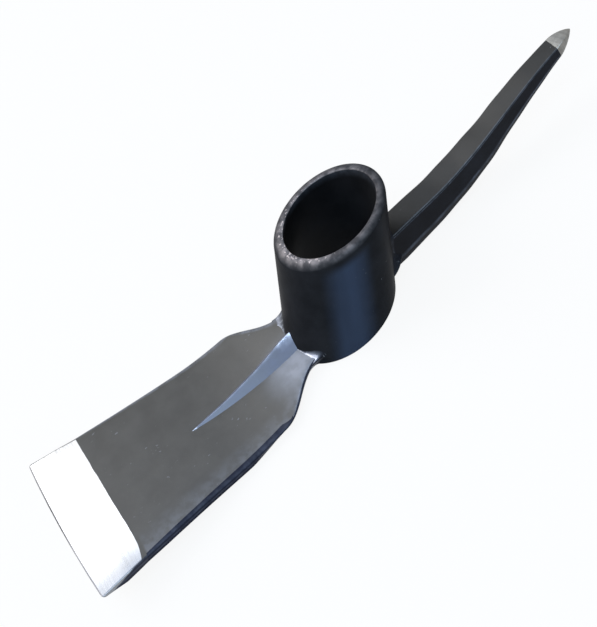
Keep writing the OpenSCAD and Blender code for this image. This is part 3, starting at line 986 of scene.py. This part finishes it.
def paint_layers(tree, coords, finish, paint, wear, scuffs, tint=None, steel=None):
    """Colour, roughness, metal and height of worn black paint.

    Cloudy paint comes first, blended by a mask with another colour where a tint gives both, then steel where
    edges are rubbed and where painted highlights lie, of a colour of its own where one is given, then pale
    scuffs on top.
    """
    scales = {"Hammer_Scale": 95.0, "Grain_Scale": 1500.0}
    dark, pale, paint_rough, rub_metal = 0.75, 1.3, (0.36, 0.44), 0.85
    mark_scale, mark_rough, mark_height = 650.0, 0.8, 0.2
    skin = use_group(tree, "Forged skin", forged_skin_group, Vector=coords, **scales)
    edge = edge_node(tree)
    # The edge values carry wear, and on some pieces painted highlights, reflections and shade
    rub = use_group(tree, "Edge rub", edge_rub_group, Vector=coords, Edge=edge, Amount=wear)["Mask"]
    marks = use_group(tree, "Scuffs", scuff_group, Vector=coords, Scale=mark_scale, Amount=scuffs)["Mask"]
    base = blend_node(tree, skin["Tone"], shaded(paint, dark), shaded(paint, pale))
    if tint:
        mask, tone = tint
        base = blend_node(tree, mask, base, tone)
    base = blend_node(tree, rub, base, steel or finish.rubbed)
    base = blend_node(tree, marks, base, finish.scuff)
    rough = step_node(tree, skin["Tone"], 0.0, 1.0, *paint_rough)
    rough = math_node(tree, "MAXIMUM", rough, times(tree, marks, mark_rough))
    height = plus(tree, skin["Height"], times(tree, marks, mark_height))
    return base, rough, times(tree, rub, rub_metal), height


def paint_material(name, finish, paint, wear, scuffs, specular):
    """Worn black paint over forged steel."""
    material, tree, shader, coords = new_material(name, specular)
    layers = paint_layers(tree, coords, finish, paint, wear, scuffs)
    finish_shader(tree, shader, *layers, depth=0.15 * MM)
    return material


def side_material(name, finish, paint):
    """Fresh dark paint on the sides and the underside, where nothing rubs it, and painted shade on the blade's
    rounding.
    """
    return paint_material(name, finish, paint, wear=0.3, scuffs=0.2, specular=0.06)


def eye_material(finish, eye):
    """Fresh black paint with a streaky blue sheen, a painted highlight, on the two flanks of the eye, and a
    rubbed rim.

    The painted sheen grows as a square towards its middle, within about 30 degrees, and runs out below the
    rim.
    """
    material, tree, shader, coords = new_material("Eye paint", specular=0.008)
    painted_sheen_start, fade_start, fade_end = 0.865, eye.height - 3 * eye.rim_round, eye.height - eye.rim_round
    drawn_out, streak_scale, streak_noise, streak_range = (1.0, 1.0, 0.1), 110.0, (0.3, 0.7), (0.75, 1.0)
    upright = rotate_node(tree, coords, "Y", -eye.lean)
    flat = vector_node(tree, "MULTIPLY", upright, (1, 1, 0))["Vector"]
    at = axes_node(tree, flat)
    sideways = times(tree, math_node(tree, "ABSOLUTE", at["Y"]), math.cos(eye.painted_sheen_turn))
    forwards = times(tree, at["X"], math.sin(eye.painted_sheen_turn))
    facing = math_node(tree, "SUBTRACT", sideways, forwards)
    facing = math_node(tree, "DIVIDE", facing, vector_node(tree, "LENGTH", flat)["Value"])
    near = line_node(tree, facing, painted_sheen_start, 1.0)
    height = axes_node(tree, coords)["Z"]
    under_rim = step_node(tree, height, fade_start, fade_end, 1.0, 0.0)
    drawn = stretch_node(tree, upright, drawn_out)
    streaks = step_node(tree, noise_node(tree, drawn, streak_scale), *streak_noise, *streak_range)
    # Painted highlight: the blue sheen on the flanks, in streaks, below the rim
    sheen = times(tree, times(tree, times(tree, near, near), streaks), under_rim)
    tint = (sheen, finish.painted_blue_sheen)
    layers = paint_layers(
        tree, coords, finish, finish.eye_paint, wear=0.95, scuffs=0.3, tint=tint, steel=finish.rubbed_rim
    )
    finish_shader(tree, shader, *layers, depth=0.25 * MM)
    return material


def blade_material(finish, blade):
    """Dulled paint on top of the blade, with a painted reflection as a bluish haze round a place on the neck.
    """
    material, tree, shader, coords = new_material("Blade paint")
    apart = vector_node(tree, "DISTANCE", coords, blade.sheen_place)["Value"]
    haze_start, haze_end, most_haze = 0.2 * blade.sheen_radius, 1.75 * blade.sheen_radius, 0.33
    # Painted reflection: a bluish haze round the place on the neck
    haze = step_node(tree, apart, haze_start, haze_end, most_haze, 0.0)
    tint = (haze, finish.rubbed)
    layers = paint_layers(tree, coords, finish, finish.blade_paint, wear=0.9, scuffs=0.37, tint=tint)
    finish_shader(tree, shader, *layers, depth=0.15 * MM)
    return material


def bead_material(name, finish, paint, cover, specular):
    """Thin paint over a weld, with pale upright streaks where a drawn out noise passes the cover."""
    material, tree, shader, coords = new_material(name, specular)
    drawn_out, streak_scale, below, above = (1.0, 1.0, 0.2), 600.0, 0.06, 0.12
    fine = noise_node(tree, stretch_node(tree, coords, drawn_out), streak_scale, detail=3.0)
    streaks = step_node(tree, fine, cover - below, cover + above)
    layers = paint_layers(tree, coords, finish, paint, wear=0.9, scuffs=0.4, tint=(streaks, finish.scuff))
    finish_shader(tree, shader, *layers, depth=0.3 * MM)
    return material


def bit_material(finish, blade):
    """Bright ground steel with grinding lines along the edge, painted where the line of paint curls over it.

    The paint's line runs straight across the blade and bends towards the cutting edge near the right side,
    as a parabola. A cool painted shade covers the steel on that side, and a dull grey one lines the edges.
    """
    material, tree, shader, coords = new_material("Ground bit")
    corner_shade_width, waver_depth, fade_start, fade_end = 25 * MM, 0.8 * MM, 0.4 * MM, 0.1 * MM
    curl_inset, curl_width, curl_depth = 2 * MM, 15 * MM, 3 * MM
    dark, tone_lines, edge_shade_range, waver_scale = 0.82, (0.35, 0.65), (0.1, 0.5), 120.0
    rough_lines, rough_range, paint_rough = (0.3, 0.7), (0.24, 0.34), 0.12
    right = -blade.edge_width / 2
    curl_end = right + curl_inset
    at = axes_node(tree, coords)
    lines = use_group(tree, "Grinding lines", grinding_group, Vector=coords, Turn=math.radians(90))["Lines"]
    pale = finish.edge_steel
    steel = blend_node(tree, step_node(tree, lines, *tone_lines), shaded(pale, dark), pale)
    # Painted shade: cool darker steel towards the right corner
    steel = blend_node(tree, step_node(tree, at["Y"], right + corner_shade_width, right), steel, finish.dull_steel_and_corner_shade)
    # Painted shade: grey where the edge values are high, along the cutting edge and the bit's upper edges
    steel = blend_node(tree, step_node(tree, edge_node(tree), *edge_shade_range), steel, finish.scuff)
    paint = paint_layers(tree, coords, finish, finish.blade_paint, wear=0.0, scuffs=0.2)[0]
    near = line_node(tree, at["Y"], curl_end + curl_width, curl_end)
    curl = times(tree, near, times(tree, near, curl_depth))
    waver = times(tree, noise_node(tree, coords, waver_scale), waver_depth)
    line = plus(tree, plus(tree, at["X"], curl), waver)
    painted = step_node(tree, line, -fade_start - blade.bit, -fade_end - blade.bit)
    base = blend_node(tree, painted, steel, paint)
    rough = step_node(tree, lines, *rough_lines, *rough_range)
    rough = plus(tree, rough, times(tree, painted, paint_rough))
    metal = math_node(tree, "SUBTRACT", 1.0, painted)
    finish_shader(tree, shader, base, rough, metal, lines, depth=0.02 * MM)
    return material


def bit_side_material(finish, blade):
    """Sides and bevel of the bit: black paint below a level line, and bare steel above it."""
    material, tree, shader, coords = new_material("Bit side", specular=0.15)
    below_edge, waver_depth, waver_scale, fade, bare_metal = 2.6 * MM, 1 * MM, 250.0, 0.5 * MM, 0.9
    base, rough, _, height = paint_layers(tree, coords, finish, finish.navy_paint, wear=0.3, scuffs=0.2)
    waver = times(tree, noise_node(tree, coords, waver_scale, detail=3.0), waver_depth)
    line = plus(tree, waver, axes_node(tree, coords)["Z"])
    level = float(blade_top(blade, blade.edge)) - below_edge
    bare = step_node(tree, line, level - fade, level + fade)
    base = blend_node(tree, bare, base, finish.dull_steel_and_corner_shade)
    finish_shader(tree, shader, base, rough, times(tree, bare, bare_metal), height, depth=0.15 * MM)
    return material


def point_material(finish):
    """Dull ground steel with short grinding lines round the point."""
    material, tree, shader, coords = new_material("Ground point")
    cloud_scale, dark, metal, tone_range = 350.0, 0.7, 0.9, (0.35, 0.65)
    rough_shades, rough_range = (0.3, 0.7), (0.5, 0.4)
    lines = use_group(tree, "Grinding lines", grinding_group, Vector=coords, Turn=math.radians(75))["Lines"]
    cloud = noise_node(tree, coords, cloud_scale, detail=3.0)
    shade = times(tree, plus(tree, lines, cloud), 0.5)
    pale = finish.point_steel
    base = blend_node(tree, step_node(tree, shade, *tone_range), shaded(pale, dark), pale)
    rough = step_node(tree, shade, *rough_shades, *rough_range)
    finish_shader(tree, shader, base, rough, metal, lines, depth=0.03 * MM)
    return material


def seen_directly(tree):
    """1 for what the camera sees, also in a mirror or through glass, and 0 for light given off."""
    path = tree.nodes.new("ShaderNodeLightPath").outputs
    mirrored = math_node(tree, "MAXIMUM", path["Is Glossy Ray"], path["Is Transmission Ray"])
    return math_node(tree, "MAXIMUM", path["Is Camera Ray"], mirrored)


def floor_material(stage):
    """Pale matt floor with a faint mottle, mixed with plain white where it is seen, keeping its shadow."""
    material, tree, shader, coords = new_material("Pale floor", specular=0.1)
    mottle_scale, mottle_range, dark, rough = 6.0, (0.3, 0.7), 0.98, 0.9
    mottle = step_node(tree, noise_node(tree, coords, mottle_scale, detail=4.0), *mottle_range)
    base = blend_node(tree, mottle, shaded(stage.floor, dark), stage.floor)
    tree.links.new(base, shader.inputs["Base Color"])
    shader.inputs["Roughness"].default_value = rough
    white = add_node(tree, "ShaderNodeEmission", Color=(1, 1, 1, 1), Strength=1.0)
    both = tree.nodes.new("ShaderNodeMixShader")
    fill_socket(tree, both.inputs[0], times(tree, seen_directly(tree), stage.floor_glow))
    tree.links.new(shader.outputs[0], both.inputs[1])
    tree.links.new(white.outputs[0], both.inputs[2])
    tree.links.new(both.outputs[0], tree.nodes["Material Output"].inputs["Surface"])
    return material


# Stage
def add_floor(stage):
    """A round floor, as rings of points just under the foot of the eye."""
    rings, spokes, first_ring, below = 12, 96, 0.05, -0.1 * MM
    angle = np.linspace(0, 2 * np.pi, spokes, endpoint=False)
    radius = np.linspace(first_ring, 1, rings)[:, None] * stage.floor_radius
    index = np.arange(rings * spokes).reshape(rings, spokes)
    points = xyz(radius * np.cos(angle), radius * np.sin(angle), below)
    floor = add_object("floor", points, grid_quads(index).tolist() + [index[0].tolist()])
    floor.data.materials.append(floor_material(stage))


def add_lamp(stage, name):
    """A square soft lamp aimed at the origin, with the settings whose names start with its own."""
    lamp = bpy.data.lights.new(f"{name.title()} softbox", "AREA")
    lamp.shape = "SQUARE"
    lamp.size = getattr(stage, f"{name}_size")
    lamp.energy = getattr(stage, f"{name}_power")
    lamp.color = getattr(stage, f"{name}_colour")[:3]
    towards = Vector(getattr(stage, f"{name}_towards"))
    holder = bpy.data.objects.new(lamp.name, lamp)
    holder.location = towards.normalized() * stage.lamp_distance
    holder.rotation_euler = towards.to_track_quat("Z", "Y").to_euler()
    holder.visible_camera = False
    bpy.context.scene.collection.objects.link(holder)


def add_world(scene, stage):
    """Even white light from all round, which is plain white where it is seen."""
    world = bpy.data.worlds.new("Even light")
    world.use_nodes = True
    tree = world.node_tree
    background = tree.nodes["Background"]
    background.inputs["Color"].default_value = (1, 1, 1, 1)
    seen = add_node(tree, "ShaderNodeMapRange", Value=seen_directly(tree), To_Min=stage.sky)
    tree.links.new(seen.outputs[0], background.inputs["Strength"])
    scene.world = world


def add_camera(scene, stage):
    """A camera from its place, its look and the picture's upward direction."""
    back = -Vector(stage.camera_look).normalized()
    right = Vector(stage.camera_up).cross(back).normalized()
    turned = Matrix((right, back.cross(right), back)).transposed()
    lens = bpy.data.cameras.new("Camera")
    lens.sensor_width = SENSOR_WIDTH
    lens.lens = stage.focal * SENSOR_WIDTH / PHOTO_LONG_SIDE
    camera = bpy.data.objects.new("Camera", lens)
    camera.matrix_world = Matrix.Translation(stage.camera_place) @ turned.to_4x4()
    scene.collection.objects.link(camera)
    scene.camera = camera


# Operators and panel
class MATTOCK_OT_eye(bpy.types.Operator):
    """Builds the eye with its rounded rim."""

    bl_idname = "mattock.eye"
    bl_label = "Eye"

    def execute(self, context):
        kit = context.scene.mattock
        points, wear, in_bore = eye_surface(kit.eye)
        paint = eye_material(kit.finish, kit.eye)
        bore = side_material("Bore paint", kit.finish, kit.finish.bore_paint)
        make_piece("forged_eye", points, wear, "eye_socket", [paint, bore], in_bore, ring=True)
        return {"FINISHED"}


class MATTOCK_OT_blade(bpy.types.Operator):
    """Builds the hoe blade and its ground bit as one surface in two pieces.

    Columns of faces run from the rounding of the left edge over the upper face to that of the right edge.
    From its middle on the faces are dark, as painted shade, and past the crease all of that rounding is.
    """

    bl_idname = "mattock.blade"
    bl_label = "Blade and bit"

    def execute(self, context):
        kit = context.scene.mattock
        blade, finish = kit.blade, kit.finish
        plate_rows, bit_rows = 110, 50
        column = np.arange(BLADE_CORNERS * SECTION_STEPS)
        right_middle = SECTION_STEPS + BEND_STEPS // 2
        start = blade.flank - blade.tuck
        rows = np.linspace(0, 1, plate_rows)
        plate, wear = blade_surface(kit.eye, blade, start, blade.bit, rows)
        past_crease = mix(start, blade.bit, rows[1:, None]) > crease_place(blade)
        # Painted shade: the dark side paint covers the outer half of the right upper rounding
        dark = (column < 1) | (column >= np.where(past_crease, SECTION_STEPS, right_middle))
        side_paint_and_shade = side_material("Blade side paint", finish, finish.navy_paint)
        finishes = [blade_material(finish, blade), side_paint_and_shade]
        make_piece("hoe_plate", plate, wear, "hoe_blade", finishes, dark)
        rows = np.sin(np.linspace(0, np.pi / 2, bit_rows))
        bit, wear = blade_surface(kit.eye, blade, blade.bit, corner_place(blade), rows)
        # Painted shade: here too from the middle of the right upper rounding
        dark = (column < 1) | (column >= right_middle - 1)
        finishes = [bit_material(finish, blade), bit_side_material(finish, blade)]
        make_piece("ground_bit", bit, wear, "cutting_edge", finishes, dark)
        return {"FINISHED"}


class MATTOCK_OT_rib(bpy.types.Operator):
    """Builds the ridge on the blade."""

    bl_idname = "mattock.rib"
    bl_label = "Rib"

    def execute(self, context):
        kit = context.scene.mattock
        finish = kit.finish
        points, wear = rib_surface(kit.eye, kit.blade, kit.rib)
        # Painted reflection: lighter, bluer paint on the rib
        paint = paint_material("Rib paint", finish, finish.rib_paint, wear=0.7, scuffs=0.2, specular=0.85)
        make_piece("raised_rib", points, wear, "blade_rib", [paint])
        return {"FINISHED"}


class MATTOCK_OT_pick(bpy.types.Operator):
    """Builds the pick and its ground point. Its faces are dark from just below the upper chamfers."""

    bl_idname = "mattock.pick"
    bl_label = "Pick and point"

    def execute(self, context):
        kit = context.scene.mattock
        finish = kit.finish
        paint = paint_material("Pick paint", finish, finish.pick_paint, wear=0.25, scuffs=0.3, specular=0.3)
        arm, wear = arm_surface(kit.eye, kit.pick)
        columns, margin = PICK_CORNERS * SECTION_STEPS, 2
        column = np.arange(columns)
        dark = (column >= SECTION_STEPS + BEND_STEPS + margin) & (column < columns - margin)
        finishes = [paint, side_material("Pick side paint", finish, finish.black_paint)]
        make_piece("tapered_pick", arm, wear, "pick_arm", finishes, dark)
        point, wear = point_surface(kit.eye, kit.pick)
        make_piece("ground_tip", point, wear, "pick_point", [point_material(finish)])
        return {"FINISHED"}


class MATTOCK_OT_welds(bpy.types.Operator):
    """Builds the three fillet welds round the eye."""

    bl_idname = "mattock.welds"
    bl_label = "Welds"

    def execute(self, context):
        kit = context.scene.mattock
        finish = kit.finish
        # Partly painted light and shade: the left weld has lighter paint and more pale streaks, the right one
        # black paint
        left = bead_material("Left weld paint", finish, finish.weld_paint, cover=0.5, specular=0.15)
        right = bead_material("Right weld paint", finish, finish.black_paint, cover=0.62, specular=0.02)
        for name, side, paint in (("left", 1, left), ("right", -1, right)):
            points, wear = blade_weld_surface(kit.eye, kit.blade, kit.weld, side)
            make_piece(f"bead_{name}", points, wear, f"blade_weld_{name}", [paint])
        points, even_wear = pick_weld_surface(kit.eye, kit.pick, kit.weld), 0.1
        paint = bead_material("Root weld paint", finish, finish.black_paint, cover=0.66, specular=0.03)
        make_piece("bead_pick", points, even_wear, "pick_weld", [paint])
        return {"FINISHED"}


class MATTOCK_OT_stage(bpy.types.Operator):
    """Sets up the floor, the soft lamps, the world and the camera at the photograph's angle."""

    bl_idname = "mattock.stage"
    bl_label = "Stage"

    def execute(self, context):
        scene = context.scene
        stage = scene.mattock.stage
        add_floor(stage)
        for name in ("back", "top", "front"):
            add_lamp(stage, name)
        add_world(scene, stage)
        add_camera(scene, stage)
        scene.view_settings.view_transform = "Standard"
        return {"FINISHED"}


class MATTOCK_PT_panel(bpy.types.Panel):
    """Lists the steps that build the mattock head."""

    bl_idname = "MATTOCK_PT_panel"
    bl_label = "Mattock head"
    bl_space_type = "VIEW_3D"
    bl_region_type = "UI"
    bl_category = "Mattock"

    def draw(self, context):
        for step in STEPS:
            self.layout.operator(step.bl_idname)


STEPS = (
    MATTOCK_OT_stage,
    MATTOCK_OT_eye,
    MATTOCK_OT_blade,
    MATTOCK_OT_rib,
    MATTOCK_OT_pick,
    MATTOCK_OT_welds,
)
GROUPS = (EyeSizes, BladeSizes, RibSizes, PickSizes, WeldSizes, Finishes, StageSettings, MattockSettings)
CLASSES = GROUPS + STEPS + (MATTOCK_PT_panel,)


def register():
    """Registers the classes and hangs the settings on the scene."""
    for made in CLASSES:
        bpy.utils.register_class(made)
    bpy.types.Scene.mattock = bpy.props.PointerProperty(type=MattockSettings)


def unregister():
    """Takes the settings and the classes away again."""
    del bpy.types.Scene.mattock
    for made in reversed(CLASSES):
        bpy.utils.unregister_class(made)


def main():
    """Builds the stage and every piece."""
    register()
    bpy.ops.mattock.stage()
    bpy.ops.mattock.eye()
    bpy.ops.mattock.blade()
    bpy.ops.mattock.rib()
    bpy.ops.mattock.pick()
    bpy.ops.mattock.welds()


if __name__ == "__main__":
    main()
